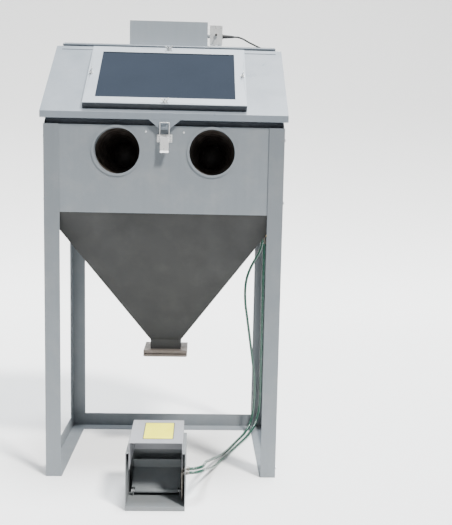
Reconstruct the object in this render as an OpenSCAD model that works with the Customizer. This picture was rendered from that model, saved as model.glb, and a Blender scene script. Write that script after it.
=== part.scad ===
/* [Body] */
// Width over the legs
body_w = 914; // [860:2:980]
// Depth from the front face of the legs to the rear face
body_d = 610; // [580:2:660]
// Width of each leg angle's flanges
leg_w = 60; // [50:1:64]
// Thickness of the angle steel
steel_t = 3; // [2:0.5:4]
// Thickness of the cabinet's sheet steel
sheet_t = 2; // [1.5:0.5:2.5]
// Height of the cabinet floor, where the hopper begins
floor_z = 1052; // [1000:2:1080]
// Height of the front panel's top edge and of the legs
rim_z = 1384; // [1360:2:1400]
// Height of the angle rails at the feet
rail_h = 60; // [50:1:64]

/* [Lid] */
// Angle of the sloping lid from horizontal
slope = 40; // [36:0.5:42]
// Length of the lid up the slope
lid_len = 459; // [440:1:470]
// How far the lid stands out past the body, front and sides
lid_over = 11; // [9:1:14]
// Height of the lid's turned-down lip
lip_h = 24; // [20:1:26]
// Gap between body rim and lid lip, filled by the foam seal
seal_gap = 22; // [18:1:26]
// Height of the fixed top above the hinge ledge
pan_h = 17; // [12:1:24]

/* [Window] */
// Half width of the viewing opening
win_x = 266; // [240:1:270]
// Lower and upper edges of the opening, up the slope from the fold
win_s = [62, 380];
// Width of the retaining frame's border
win_border = 44; // [38:1:48]
// Height of the retaining frame off the lid
win_rise = 23.5; // [18:0.5:26]

/* [Hopper] */
// Height of the hopper's neck
neck_z = 503; // [480:1:540]
// Half width of the neck
neck_x = 64; // [50:1:70]
// Height of the outlet flange's upper face
flange_z = 462; // [440:1:480]
// Half width of the outlet flange
flange_x = 92; // [86:1:100]

/* [Gloves] */
// Distance of each glove port from the middle
port_x = 181; // [170:1:200]
// Height of the glove ports
port_z = 1288; // [1270:1:1300]
// Inside radius of the glove ports
port_r = 87; // [76:1:90]

/* [Light] */
// Width of the light box
light_w = 332; // [300:2:340]
// Height of the light box
light_h = 106; // [90:1:120]

/* [Pedal] */
// Distance from the front of the pedal to the front of the cabinet
pedal_front = 302; // [290:2:340]
// Width of the pedal's base
pedal_w = 214; // [204:2:220]
// Depth of the pedal's base
pedal_d = 216; // [210:2:230]
// Outside diameter of the air hoses
hose_d = 12; // [10:0.5:12.5]
// Outside diameter of the power cord
cord_d = 7.5; // [7:0.25:8]

/* [Hidden] */
$fn = 64;
half_w = body_w / 2;
dust_len = 42;
collar_end = body_d + dust_len;
front_y = (pedal_front - collar_end) / 2;
fold_z = rim_z + seal_gap + lip_h;
rim_h = -(lid_over * sin(slope) + (fold_z - rim_z) * cos(slope));
seal_top = -lip_h - 0.3;
lid_half = half_w + lid_over;
panel_half = half_w - steel_t;
roof_y = 361;
hinge_r = 5;
hinge_y = -lid_over + (lid_len + 5) * cos(slope) - hinge_r * sin(slope);
hinge_z = fold_z + (lid_len + 5) * sin(slope) + hinge_r * cos(slope);
deck_z = hinge_z - hinge_r;
pan_z = deck_z + pan_h;
pan_x = 443;
pan_y = 372;
knuckles = 9;
knuckle_len = 2 * pan_x / knuckles;
hopper_half = panel_half - sheet_t;
hopper_y0 = 5;
hopper_y1 = body_d - 5;
mid_y = (hopper_y0 + hopper_y1) / 2;
neck_y = 50;
wall_run = (hopper_half - neck_x) / (floor_z - neck_z);
wall_tilt = atan(wall_run);
flange_y = 80;
gate_z = flange_z - 22;
pivot_y = -11;
pivot_z = 1337;
bail_y = -13;
bail_z = 1327;
bail_x = 17.7;
bar_y = -16;
bar_z = 1394.7;
light_y = 410;
light_d = 170;
light_x = -8;
box_x = 169;
box_y = 430;
box_z = 1763;
relief_y = 450;
relief_z = 1799;
switch_pos = [194, 426.5, 1801];
pedal_x = -5;
pedal_wall = 215;
plate_z = 16;
treadle_y = -205;
treadle_z = 34;
treadle_tilt = 28;
valve_y = -145;
collar_top = 58.8;
inner_wall = pedal_x + pedal_w / 2 - sheet_t;
union_z = 124;
union_y = [-250, -215];
gun_pos = [200, 540];
dust_pos = [-250, 1250];
coil_pos = [325, 540];
coil_mid_r = 41;
flange_w = 26;
light_hole = [[-140, 430], [124, 560]];
stud_spots = [[win_x + 31, 221], [-win_x - 31, 221], [0, win_s[0] - 27], [0, win_s[1] + 27]];
glass_lap = 22;
glass_h = win_rise - 5.5;
gun_r = 16;
union_len = 14;
supply_port = [530, 946];
inlet_pos = [435, 560, 930];
grip_z = 960;
grip_y = 520;
grip_x = hopper_half - (floor_z - grip_z) * wall_run;

// The air hose from the pedal to the hopper's side, then the one from the inlet block to the pedal
gun_hose_route = [
    [116, -215, 124], [120, -215, 124], [138.4, -211.3, 124], [153.9, -200.9, 123.5], [164.3, -185.4, 122],
    [168, -171, 120], [171, -150, 116], [175, -112, 107], [181, -66, 93], [189, -16, 76], [200, 38, 59],
    [214, 93, 43], [232, 152, 28], [252, 211, 16], [275, 272, 9], [299, 335, 7], [323, 395, 7],
    [347, 449, 9], [369, 492, 19], [387, 521, 41], [399, 538, 77], [405, 545, 128], [407, 545, 190],
    [404, 545, 265], [394, 543, 345], [380, 540, 440], [365, 537, 540], [353, 533, 625], [352, 530, 695],
    [360, 528, 745], [376, 527, 788], [394, 525, 823], [410, 524, 852], [419.5, 523, 878], [423, 521, 897],
    [423.4, 520, 911], [421.3, 520, 924], [414.4, 520, 937.4], [403.3, 520, 948.4], [398.4, 520, 951.9]];
supply_hose_route = [
    [116, -250, 124], [120, -250, 124], [138.4, -246.3, 123.5], [153.9, -235.9, 122], [164.3, -220.4, 119],
    [168.5, -205, 115], [171.5, -182, 108], [176, -148, 95], [182, -100, 76], [190, -48, 55],
    [201, 8, 36], [215, 66, 21], [233, 127, 12], [258, 190, 8], [286, 256, 7], [315, 322, 7],
    [344, 386, 8], [370, 440, 12], [393, 488, 22], [413, 525, 44], [427, 550, 82], [434, 559, 132],
    [435, 560, 190], [435, 560, 290], [435, 560, 430], [435, 560, 570], [435, 560, 710], [435, 560, 830],
    [435, 560, 894]];
cord_route = [
    [271, 450, 1799], [290, 450, 1798], [312, 450, 1791], [335, 450, 1779], [359, 451, 1768],
    [382, 453, 1758], [402, 459, 1752], [418, 470, 1749], [428, 487, 1749], [433, 508, 1749],
    [433, 530, 1749], [427, 552, 1749], [415, 571, 1749], [397, 584.5, 1749], [377, 590.8, 1749],
    [356, 592.25, 1749]];

// ---- helpers: everything below is laid out from the cabinet's front plane ----

module from_front() translate([0, front_y, 0]) children();
module block(low, high) translate(low) cube(high - low);
module both_sides() { children(); mirror([1, 0, 0]) children(); }
// A frame whose Y runs up the lid's slope from its fold and whose Z is the lid's outward normal
module on_slope() translate([0, -lid_over, fold_z]) rotate([slope, 0, 0]) children();
// A point s up the slope and h out from it, then the height of a plane h out from it, in the side view
function up_slope(s, h) =
    [s * cos(slope) - h * sin(slope) - lid_over, fold_z + s * sin(slope) + h * cos(slope)];
function slope_z(y, h) = fold_z + (y + lid_over) * tan(slope) + h / cos(slope);
// Draws a side view along the width
module along_x(x0, x1) translate([x0, 0, 0]) rotate([90, 0, 90]) linear_extrude(x1 - x0) children();
module rod_x(x0, x1, r) translate([x0, 0, 0]) rotate([0, 90, 0]) cylinder(h = x1 - x0, r = r);
module rod_y(y0, y1, r) translate([0, y0, 0]) rotate([-90, 0, 0]) cylinder(h = y1 - y0, r = r);

function unit(v) = v / norm(v);
function step_dir(p, i) = unit(p[min(i + 1, len(p) - 1)] - p[max(i - 1, 0)]);
function cross_dir(t) = unit(cross(t, abs(t[2]) > 0.9 ? [1, 0, 0] : [0, 0, 1]));
function ring_frames(p, i, u) = i >= len(p) ? [] :
    let (t = step_dir(p, i), v = unit(u - (u * t) * t)) concat([[v, cross(t, v)]], ring_frames(p, i + 1, v));

// A closed tube with flat ends swept along a list of points
module sweep(p, r, sides) {
    n = len(p);
    frames = ring_frames(p, 0, cross_dir(step_dir(p, 0)));
    points = [for (i = [0 : n - 1], k = [0 : sides - 1])
        p[i] + r * (cos(360 * k / sides) * frames[i][0] + sin(360 * k / sides) * frames[i][1])];
    walls = [for (i = [0 : n - 2], k = [0 : sides - 1])
        let (a = i * sides + k, b = i * sides + (k + 1) % sides) [b, a, a + sides, b + sides]];
    first = [[for (k = [0 : sides - 1]) k]];
    last = [[for (k = [sides - 1 : -1 : 0]) (n - 1) * sides + k]];
    polyhedron(points, concat(walls, first, last));
}

// ---- frame ----

module angle_leg(h) {
    block([0, 0, 0], [leg_w, steel_t, h]);
    block([0, 0, 0], [steel_t, leg_w, h]);
}
module leg_at(x, y) translate([x, y, 0])
    mirror([x > 0 ? 1 : 0, 0, 0]) mirror([0, y > 0 ? 1 : 0, 0]) angle_leg(y > 0 ? deck_z - sheet_t : rim_z);
module leg_front_left() color("silver") from_front() leg_at(-half_w, 0);
module leg_front_right() color("silver") from_front() leg_at(half_w, 0);
module leg_rear_left() color("silver") from_front() leg_at(-half_w, body_d);
module leg_rear_right() color("silver") from_front() leg_at(half_w, body_d);

module side_rail() {
    rear = body_d - steel_t;
    block([panel_half - steel_t, steel_t, 0], [panel_half, rear, rail_h]);
    block([panel_half - leg_w, steel_t, 0], [panel_half, rear - steel_t, steel_t]);
}
module rail_left() color("silver") from_front() mirror([1, 0, 0]) side_rail();
module rail_right() color("silver") from_front() side_rail();
module rail_rear() color("silver") from_front() {
    rear = body_d - steel_t;
    end = panel_half - steel_t;
    block([-end, rear - steel_t, 0], [end, rear, rail_h]);
    block([leg_w - panel_half, rear - leg_w, 0], [panel_half - leg_w, rear, steel_t]);
}

module bolt_head() { cylinder(h = 1, r = 9); cylinder(h = 6, r = 6.5, $fn = 6); }
module frame_bolts() color("gainsboro") from_front() both_sides() {
    for (z = [30, 1100, 1340]) translate([half_w, 30, z]) rotate([0, 90, 0]) bolt_head();
    for (z = [30, 1100, 1340, 1690]) {
        translate([half_w, body_d - 30, z]) rotate([0, 90, 0]) bolt_head();
        translate([half_w - 30, body_d, z]) rotate([-90, 0, 0]) bolt_head();
    }
}

// ---- cabinet shell ----

module front_panel() color("lightslategray") from_front() {
    y0 = steel_t;
    y1 = y0 + sheet_t;
    difference() {
        block([-panel_half, y0, floor_z], [panel_half, y1, rim_z]);
        both_sides() translate([port_x, 0, port_z]) rod_y(0, 10, port_r + 3.3);
    }
    block([4 - panel_half, y0, rim_z - sheet_t], [panel_half - 4, y0 + flange_w, rim_z]);
    block([4 - panel_half, y0, floor_z], [panel_half - 4, y0 + flange_w, floor_z + sheet_t]);
}

module side_panel() {
    y0 = 5;
    y1 = body_d - 5;
    top = deck_z - sheet_t;
    rise = tan(slope);
    translate([hopper_half, 0, 0]) rotate([90, 0, 90]) linear_extrude(sheet_t)
        polygon([[y0, floor_z], [y1, floor_z], [y1, top], [roof_y + 2, top],
            [roof_y + 2, rim_z + rise * roof_y], [y0, rim_z + rise * y0]]);
    block([hopper_half - flange_w, 32, floor_z], [hopper_half + 1, y1 - 28, floor_z + sheet_t]);
    on_slope() block([hopper_half - flange_w, 20, rim_h - sheet_t], [hopper_half + 1, 424, rim_h]);
}
module side_panel_left() color("lightslategray") from_front() mirror([1, 0, 0]) side_panel();
module side_panel_right() color("lightslategray") from_front() side_panel();

module rear_panel() color("lightslategray") from_front() {
    y0 = body_d - 5;
    difference() {
        block([-panel_half, y0, floor_z], [panel_half, y0 + sheet_t, deck_z - sheet_t]);
        translate([dust_pos[0], y0 - 1, dust_pos[1]]) rod_y(0, 5, 28.5);
    }
    block([4 - panel_half, y0 - flange_w, floor_z], [panel_half - 4, y0 + 1, floor_z + sheet_t]);
}

module top_pan() color("silver") from_front() difference() {
    union() {
        // deck with its front ledge, the header under it and the header's seal flange
        block([-panel_half, hinge_y + 6, deck_z - sheet_t], [panel_half, body_d - 3, deck_z]);
        along_x(-hopper_half, hopper_half) polygon([up_slope(427, rim_h), [roof_y, slope_z(roof_y, rim_h)],
            [roof_y, deck_z - 1], [roof_y + sheet_t, deck_z - 1],
            [roof_y + sheet_t, slope_z(roof_y + sheet_t, rim_h - sheet_t)], up_slope(427, rim_h - sheet_t)]);
        // raised tray on the deck
        difference() {
            block([-pan_x, pan_y, deck_z - 1], [pan_x, body_d - 5, pan_z]);
            block([sheet_t - pan_x, pan_y + sheet_t, deck_z - 2],
                [pan_x - sheet_t, body_d - 5 - sheet_t, pan_z - sheet_t]);
        }
    }
    block([light_hole[0][0], light_hole[0][1], deck_z - 10],
        [light_hole[1][0], light_hole[1][1], pan_z + 10]);
}

module lid_seal() color("black") from_front() difference() {
    x1 = half_w - 9;
    top = rim_z + seal_gap - 0.3;
    along_x(-x1, x1) polygon([[9, rim_z], [30.5, rim_z], [30.5, slope_z(30.5, rim_h)], up_slope(445, rim_h),
        up_slope(445, seal_top), [26.8, slope_z(26.8, seal_top)], [26.8, top], [9, top]]);
    // the middle is open, so the strip runs round the rim
    along_x(15 - x1, x1 - 15)
        polygon([[24, rim_z - 14], [24, rim_z + 60], up_slope(430, 0), up_slope(430, rim_h - 10)]);
}

module work_grate() color("dimgray") from_front() {
    x1 = 440;
    y0 = 14;
    y1 = body_d - 14;
    z0 = floor_z + sheet_t;
    difference() {
        block([-x1, y0, z0], [x1, y1, z0 + 8]);
        block([6 - x1, y0 + 6, z0 - 1], [x1 - 6, y1 - 6, z0 + 9]);
    }
    bars = 17;
    for (i = [1 : bars]) translate([0, y0 + i * (y1 - y0) / (bars + 1), z0])
        block([1 - x1, -1.5, 0], [x1 - 1, 1.5, 8]);
    for (i = [-3 : 3]) translate([i * 110, 0, z0]) block([-2, y0 + 1, 1], [2, y1 - 1, 5]);
}

// ---- hopper, outlet and slide gate ----

module hopper_form(t) hull() {
    block([t - hopper_half, hopper_y0 + t, floor_z - 0.1], [hopper_half - t, hopper_y1 - t, floor_z]);
    block([t - neck_x, mid_y - neck_y + t, neck_z], [neck_x - t, mid_y + neck_y - t, neck_z + 0.1]);
}
module at_grip() translate([grip_x, grip_y, grip_z]) rotate([0, 90 + wall_tilt, 0]) children();
module hopper() color("dimgray") from_front() difference() {
    union() {
        hopper_form(0);
        block([-neck_x, mid_y - neck_y, flange_z], [neck_x, mid_y + neck_y, neck_z + 0.05]);
    }
    translate([0, 0, 0.2]) hopper_form(sheet_t);
    block([sheet_t - neck_x, mid_y - neck_y + sheet_t, flange_z - 1],
        [neck_x - sheet_t, mid_y + neck_y - sheet_t, neck_z + 1]);
    at_grip() translate([0, 0, -12]) cylinder(h = 24, r = 6.4);
}

module outlet_flange() color("rosybrown") from_front() {
    y0 = mid_y - flange_y;
    y1 = mid_y + flange_y;
    skirt_z = gate_z + 9;
    difference() {
        block([-flange_x, y0, skirt_z], [flange_x, y1, flange_z]);
        block([3 - flange_x, y0 + 3, skirt_z - 1], [flange_x - 3, y1 - 3, flange_z - 4]);
        block([sheet_t - neck_x, mid_y - neck_y + sheet_t, flange_z - 5],
            [neck_x - sheet_t, mid_y + neck_y - sheet_t, flange_z + 1]);
    }
    both_sides() {
        block([flange_x - 3.5, y0, gate_z - 3], [flange_x, y1, skirt_z + 1]);
        block([flange_x - 12, y0, gate_z - 3], [flange_x - 1, y1, gate_z - 0.3]);
    }
    block([-flange_x, y1 - 3, gate_z - 3], [flange_x, y1, skirt_z + 1]);
}
module slide_gate() color("tan") from_front() {
    y0 = mid_y - flange_y;
    x1 = flange_x - 4;
    block([-x1, y0 - 1, gate_z], [x1, y0 + 2 * flange_y - 4, gate_z + 4]);
    block([-x1, y0 - 4, gate_z - 4], [x1, y0 - 0.5, gate_z + 6]);
}

module pickup_tube() color("silver") from_front() {
    tilt = atan((hopper_y1 - mid_y - neck_y) / (floor_z - neck_z));
    translate([0, mid_y + neck_y - 30, neck_z + 10]) rotate([-tilt, 0, 0]) {
        difference() {
            cylinder(h = 440, r = 14);
            translate([0, 0, -1]) cylinder(h = 442, r = 11);
        }
        // two feet welded to the tube stand it off the hopper's rear wall
        for (z = [110, 330]) block([-8, 13, z], [8, 21, z + 24]);
    }
}

// ---- hinge and lid ----

module at_hinge() translate([0, hinge_y, hinge_z]) children();
module knuckle_row(first) for (i = [first : 2 : knuckles - 1])
    at_hinge() rod_x(-pan_x + i * knuckle_len + 0.3, -pan_x + (i + 1) * knuckle_len - 0.3, hinge_r);
module hinge_bore() at_hinge() rod_x(-pan_x - 2, pan_x + 2, 2.55);
module hinge_leaf_body() color("gainsboro") from_front() difference() {
    union() {
        knuckle_row(0);
        block([-pan_x, hinge_y + 6, deck_z], [pan_x, pan_y, deck_z + 2]);
        for (i = [0 : 2 : knuckles - 1]) translate([-pan_x + i * knuckle_len + 0.8, hinge_y, deck_z + 0.4])
            cube([knuckle_len - 1.6, 8, 1.5]);
    }
    hinge_bore();
}
module hinge_leaf_lid() color("gainsboro") from_front() difference() {
    union() {
        knuckle_row(1);
        on_slope() block([-pan_x, lid_len - 26, 0], [pan_x, lid_len - 1.5, 2]);
        for (i = [1 : 2 : knuckles - 1]) on_slope()
            translate([-pan_x + i * knuckle_len + 0.8, lid_len - 3, 0.4]) cube([knuckle_len - 1.6, 8, 1.5]);
    }
    hinge_bore();
}
module hinge_pin() color("gainsboro") from_front() at_hinge() rod_x(-pan_x - 1, pan_x + 1, 2.5);

module lid_pan() color("aliceblue") from_front() on_slope() {
    side_in = 38;
    // level and upright directions as seen in the slope's own frame, which place the vertical front lip
    level = [cos(slope), -sin(slope)];
    upright = [sin(slope), cos(slope)];
    foot = -lip_h * upright;
    fold_in = sheet_t * level - sheet_t * (1 - sin(slope)) / cos(slope) * upright;
    mid_run = (lip_h - (lip_h - 1) * cos(slope)) / sin(slope);
    difference() {
        // sheet, front lip, rear lip and the return flanges of both, as one folded section
        along_x(-lid_half, lid_half) polygon([[0, 0], [lid_len, 0], [lid_len, -lip_h],
            [lid_len - 34, -lip_h], [lid_len - 34, sheet_t - lip_h], [lid_len - sheet_t, sheet_t - lip_h],
            [lid_len - sheet_t, -sheet_t], fold_in, foot + sheet_t * level + sheet_t * upright,
            foot + 37 * level + sheet_t * upright, foot + 37 * level, foot]);
        block([-win_x, win_s[0], -5], [win_x, win_s[1], 5]);
    }
    // side lips with their return flanges
    both_sides() {
        along_x(lid_half - sheet_t, lid_half)
            polygon([[0, 0], [lid_len, 0], [lid_len, -lip_h], foot + mid_run * level + upright, foot]);
        block([lid_half - side_in, 14, -lip_h], [lid_half - 1, lid_len - 1, sheet_t - lip_h]);
    }
    for (p = stud_spots) translate([p[0], p[1], -1]) cylinder(h = 42, r = 3);
}

module window_border(x_in, x_out, grow_in, grow_out, h0, h1) difference() {
    block([-x_out, win_s[0] - grow_out, h0], [x_out, win_s[1] + grow_out, h1]);
    block([-x_in, win_s[0] - grow_in, h0 - 1], [x_in, win_s[1] + grow_in, h1 + 1]);
    for (p = stud_spots) translate([p[0], p[1], h0 - 1]) cylinder(h = h1 - h0 + 2, r = 3.3);
}
module window_gasket() color("black") from_front() on_slope() {
    x1 = win_x + win_border;
    window_border(win_x, x1, 0, win_border - 4, 0, glass_h);
    window_border(win_x + glass_lap + 0.5, x1, glass_lap - 3.5, win_border - 4, glass_h, win_rise);
}
module window_glass() color("slategray", 0.5) from_front() on_slope()
    block([-win_x - glass_lap, win_s[0] - glass_lap + 4, glass_h],
        [win_x + glass_lap, win_s[1] + glass_lap - 4, win_rise - 0.5]);
module window_frame() color("gainsboro") from_front() on_slope()
    window_border(win_x, win_x + win_border, 0, win_border - 4, win_rise, win_rise + 2.5);

module wing_nut() difference() {
    union() {
        cylinder(h = 2, r = 8);
        cylinder(h = 9, r1 = 6.5, r2 = 5);
        for (a = [0, 180]) rotate([0, 0, a]) translate([4, 1.25, 1]) rotate([90, 0, 0])
            linear_extrude(2.5) polygon([[0, 0], [5, 3], [13, 13], [10, 16], [6, 15], [0, 8]]);
    }
    translate([0, 0, -1]) cylinder(h = 20, r = 3.05);
}
module wing_nuts() color("gainsboro") from_front() on_slope() for (i = [0 : 3])
    translate([stud_spots[i][0], stud_spots[i][1], win_rise + 2.5]) rotate([0, 0, i < 2 ? 75 : 8]) wing_nut();

// ---- draw latch ----

module latch_strike() color("lightslategray") from_front() {
    top = fold_z - lip_h;
    translate([0, 2.5 - lid_over, 0]) rotate([90, 0, 0]) linear_extrude(2.5)
        polygon([[-61, top], [61, top], [15, top - 38], [-15, top - 38]]);
    // keeper plate with the ledge that the bail's bar hooks over
    block([-12, -lid_over - 2, 1373], [12, -lid_over, 1401]);
    block([-9, -lid_over - 8, 1390], [9, -lid_over - 1, 1393]);
}
module latch_base() color("whitesmoke") from_front() {
    face = steel_t;
    block([-29, face - 2, 1322], [29, face, 1352]);
    block([-13.5, face - 2, 1292], [13.5, face, 1323]);
    both_sides() difference() {
        union() {
            translate([11.5, pivot_y, pivot_z]) rod_x(0, 2, 6);
            block([11.5, pivot_y, pivot_z - 6], [13.5, face - 1, pivot_z + 3]);
        }
        translate([10, pivot_y, pivot_z]) rod_x(0, 5, 2.05);
    }
}
module latch_lever() color("whitesmoke") from_front() {
    front = pivot_y - 9;
    foot = 1290;
    // plate with a finger grip turned out at its foot
    along_x(-16, 16) polygon([[front, pivot_z + 3], [front + 2, pivot_z + 3], [front + 2, foot],
        [front - 4.02, foot - 8.6], [front - 5.66, foot - 7.45], [front, foot + 0.63]]);
    both_sides() difference() {
        block([14.2, front + 1, 1300], [16, pivot_y + 3.5, pivot_z + 3]);
        translate([10, bail_y, bail_z]) rod_x(0, 10, 1.55);
    }
    translate([0, pivot_y, pivot_z]) rod_x(-15, 15, 2);
}
module latch_bail() color("silver") from_front() {
    tilt = atan((bail_y - bar_y) / (bar_z - bail_z));
    side = norm([bar_y - bail_y, bar_z - bail_z]);
    both_sides() {
        translate([bail_x, bail_y, bail_z]) rotate([tilt, 0, 0]) cylinder(h = side, r = 1.5);
        translate([bail_x, bail_y, bail_z]) sphere(r = 1.5);
        translate([14.3, bail_y, bail_z]) rod_x(0, bail_x - 14.3, 1.5);
        translate([bail_x, bar_y, bar_z]) sphere(r = 1.5);
    }
    translate([0, bar_y, bar_z]) rod_x(-bail_x, bail_x, 1.5);
}
module dome(r, h) intersection() {
    translate([0, 0, h - (r * r + h * h) / (2 * h)]) sphere(r = (r * r + h * h) / (2 * h));
    cylinder(h = h + 1, r = r);
}
module panel_rivets() color("gainsboro") from_front() both_sides() {
    translate([72, steel_t, 1360]) rotate([90, 0, 0]) dome(4, 2);
    for (z = [1328, 1346]) translate([23, steel_t - 2, z]) rotate([90, 0, 0]) dome(3, 1.5);
}

// ---- work light, switch and power cord ----

module light_box() color("lightsteelblue") from_front() {
    x0 = light_x - light_w / 2;
    x1 = light_x + light_w / 2;
    difference() {
        block([x0, light_y, pan_z], [x1, light_y + light_d, pan_z + light_h]);
        block([x0 + 1.5, light_y + 1.5, pan_z - 1],
            [x1 - 1.5, light_y + light_d - 1.5, pan_z + light_h - 1.5]);
        translate([x1 - 5, relief_y, relief_z]) rod_x(0, 10, 8.2);
    }
    // lamp holders
    for (x = [x0 + 1, x1 - 15]) block([x, 480, 1780], [x + 14, 510, pan_z + light_h - 1]);
}
module lamp_tube() color("white") from_front()
    translate([0, 495, 1798]) rod_x(light_x - light_w / 2 + 15, light_x + light_w / 2 - 15, 13);
module light_lens() color("lightcyan", 0.5) from_front()
    block([light_hole[0][0] - 12, light_hole[0][1] - 10, pan_z],
        [light_hole[1][0] + 12, light_hole[1][1] + 10, pan_z + 4]);
module handy_box() color("gainsboro") from_front() {
    difference() {
        block([box_x, box_y, box_z], [box_x + 50, box_y + 40, box_z + 76]);
        block([box_x + 1.5, box_y + 1.5, box_z + 1.5], [box_x + 48.5, box_y + 38.5, box_z + 74.5]);
        translate(switch_pos) rod_y(-20, 10, 5);
    }
    // cover plate on the front, the switch's bushing, and the nipple into the light box
    difference() {
        union() {
            block([box_x - 2, box_y - 1.5, box_z - 2], [box_x + 52, box_y, box_z + 78]);
            translate(switch_pos) rod_y(-4.5, 3, 7.5);
        }
        translate(switch_pos) rod_y(-20, 10, 5);
    }
    translate([0, relief_y, relief_z]) difference() {
        rod_x(light_x + light_w / 2 - 1.5, box_x + 0.5, 8);
        rod_x(light_x + light_w / 2 - 3, box_x + 2, 6);
    }
}
module switch_toggle() color("black") from_front() translate(switch_pos) {
    sphere(r = 4);
    rod_x(-4.8, 4.8, 1.2);
    rotate([105, 0, 0]) {
        cylinder(h = 20, r1 = 2, r2 = 3);
        translate([0, 0, 20]) sphere(r = 3);
    }
}
module cord_relief() color("black") from_front() translate([box_x + 50, relief_y, relief_z]) {
    rod_x(0, 5, 11);
    rotate([0, 90, 0]) cylinder(h = 52, r1 = 9, r2 = 4.6);
}
module power_cord() color("black") from_front() sweep(cord_route, cord_d / 2, 8);
module power_coil() color("black") from_front() translate([coil_pos[0], coil_pos[1], pan_z + 0.5]) {
    wide = 2 * cord_d;
    rotate_extrude() translate([coil_mid_r - wide, 0]) square([2 * wide, 2 * cord_d]);
    // the last of the lead-in, and the tail that goes to the plug
    outer = coil_mid_r + 1.5 * cord_d;
    translate([0, outer, 4.5]) rod_x(0, 30.6, cord_d / 2);
    translate([-outer, 0, 8]) rod_y(-35, 0, cord_d / 2);
}
module power_plug() color("black") from_front()
    translate([coil_pos[0] - coil_mid_r - 1.5 * cord_d, coil_pos[1] - 35, pan_z + 8.3]) {
        hull() {
            rod_y(-12, 0, 5.5, $fn = 32);
            block([-12, -34, -8], [12, -14, 7]);
        }
        for (x = [-6.3, 6.3]) block([x - 0.8, -50, -1.5], [x + 0.8, -33, 5]);
        translate([0, 0, -4]) rod_y(-52, -33, 2.4);
    }

// ---- glove ports and gloves ----

module at_ports() for (s = [-1, 1]) translate([s * port_x, 0, port_z]) children();
module glove_rings() color("gainsboro") from_front() at_ports() difference() {
    union() {
        rod_y(0, steel_t, port_r + 9);
        rod_y(1, 46, port_r + 3);
    }
    rod_y(-1, 50, port_r);
}
module glove() translate([0, 0, port_z]) {
    r0 = port_r + 3.3;
    wall = 2.7;
    rotate([-90, 0, 0]) rotate_extrude()
        polygon([[r0, 8], [r0 + wall, 8], [r0 + wall, 46], [60, 290], [48, 330], [0, 338],
            [0, 334], [46, 327], [57.3, 289], [r0, 46]]);
    // hand, hanging a little
    hull() {
        translate([0, 318, -4]) sphere(r = 34, $fn = 24);
        translate([0, 400, -38]) scale([1.5, 1, 0.7]) sphere(r = 26, $fn = 24);
        translate([0, 450, -66]) scale([1.5, 1, 0.7]) sphere(r = 18, $fn = 24);
    }
    hull() {
        translate([-20, 350, -10]) sphere(r = 18, $fn = 20);
        translate([-52, 400, -34]) sphere(r = 12, $fn = 20);
    }
}
module glove_left() color("black") from_front() translate([-port_x, 0, 0]) mirror([1, 0, 0]) glove();
module glove_right() color("black") from_front() translate([port_x, 0, 0]) glove();
module glove_clamps() color("silver") from_front() at_ports() difference() {
    union() {
        rod_y(31, 43, port_r + 7.8);
        block([-12, 31, -port_r - 18], [12, 43, -port_r - 2]);
    }
    rod_y(29, 45, port_r + 6.3);
}

// ---- blast gun, air inlet, dust outlet ----

module gun_bracket() color("silver") from_front() translate([gun_pos[0], gun_pos[1], 1205]) difference() {
    union() {
        block([-30, body_d - 8 - gun_pos[1], -40], [30, body_d - 5 - gun_pos[1], 40]);
        block([-12, 18, 0], [12, body_d - 7 - gun_pos[1], 10]);
        cylinder(h = 10, r = 26);
    }
    translate([0, 0, -1]) cylinder(h = 12, r = gun_r + 1);
}
module blast_gun() color("dimgray") from_front() translate([gun_pos[0], gun_pos[1], 0]) difference() {
    union() {
        translate([0, 0, 1125]) cylinder(h = 135, r = gun_r);
        translate([0, 0, 1215]) cylinder(h = 10, r = 23);
        translate([0, 0, 1260]) cylinder(h = 12, r1 = gun_r, r2 = 8);
        translate([0, 0, 1270]) cylinder(h = 30, r = 6.5);
        // media inlet, slanting forward
        translate([0, 0, 1165]) rotate([45, 0, 0]) cylinder(h = 62, r = 10);
    }
    translate([0, 0, 1120]) cylinder(h = 60, r = 6);
    translate([0, 0, 1280]) cylinder(h = 40, r = 4);
    translate([0, 0, 1165]) rotate([45, 0, 0]) translate([0, 0, 20]) cylinder(h = 50, r = 7);
}
module blast_nozzle() color("ivory") from_front() translate([gun_pos[0], gun_pos[1], 1085]) difference() {
    union() {
        cylinder(h = 40, r = 9);
        translate([0, 0, 24]) cylinder(h = 16, r = 18, $fn = 6);
    }
    translate([0, 0, -1]) cylinder(h = 50, r = 4);
}

module air_inlet() color("goldenrod") from_front() difference() {
    union() {
        block([416, 545, inlet_pos[2]], [panel_half, 600, inlet_pos[2] + 32]);
        block([434, 515, inlet_pos[2]], [panel_half, 546, inlet_pos[2] + 32]);
    }
    translate([inlet_pos[0], inlet_pos[1], inlet_pos[2] - 1]) cylinder(h = 17, r = 6.2);
    translate([0, supply_port[0], supply_port[1]]) rod_x(panel_half - 16, panel_half + 1, 6.6);
}

// A push-in hose union along +Z: nut inside the wall, stem, hexagon and sleeve outside
module hose_union() {
    translate([0, 0, -7.5]) cylinder(h = 5, r = 9, $fn = 6);
    translate([0, 0, -7]) cylinder(h = 9, r = 6);
    translate([0, 0, 0.1]) {
        cylinder(h = 5, r = 9.5, $fn = 6);
        cylinder(h = 10, r = 8);
        cylinder(h = union_len - 0.1, r = 7);
    }
}
module hose_fittings() color("goldenrod") from_front() {
    for (y = union_y) translate([inner_wall + sheet_t, y, union_z]) rotate([0, 90, 0]) hose_union();
    at_grip() hose_union();
    translate(inlet_pos) rotate([180, 0, 0]) {
        translate([0, 0, -13]) cylinder(h = 14, r = 6);
        cylinder(h = 7, r = 9.5, $fn = 6);
        cylinder(h = 36, r = 7.5);
    }
}
module air_hose_gun() color("seagreen") from_front() sweep(gun_hose_route, hose_d / 2, 8);
module air_hose_supply() color("seagreen") from_front() sweep(supply_hose_route, hose_d / 2, 8);

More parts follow.
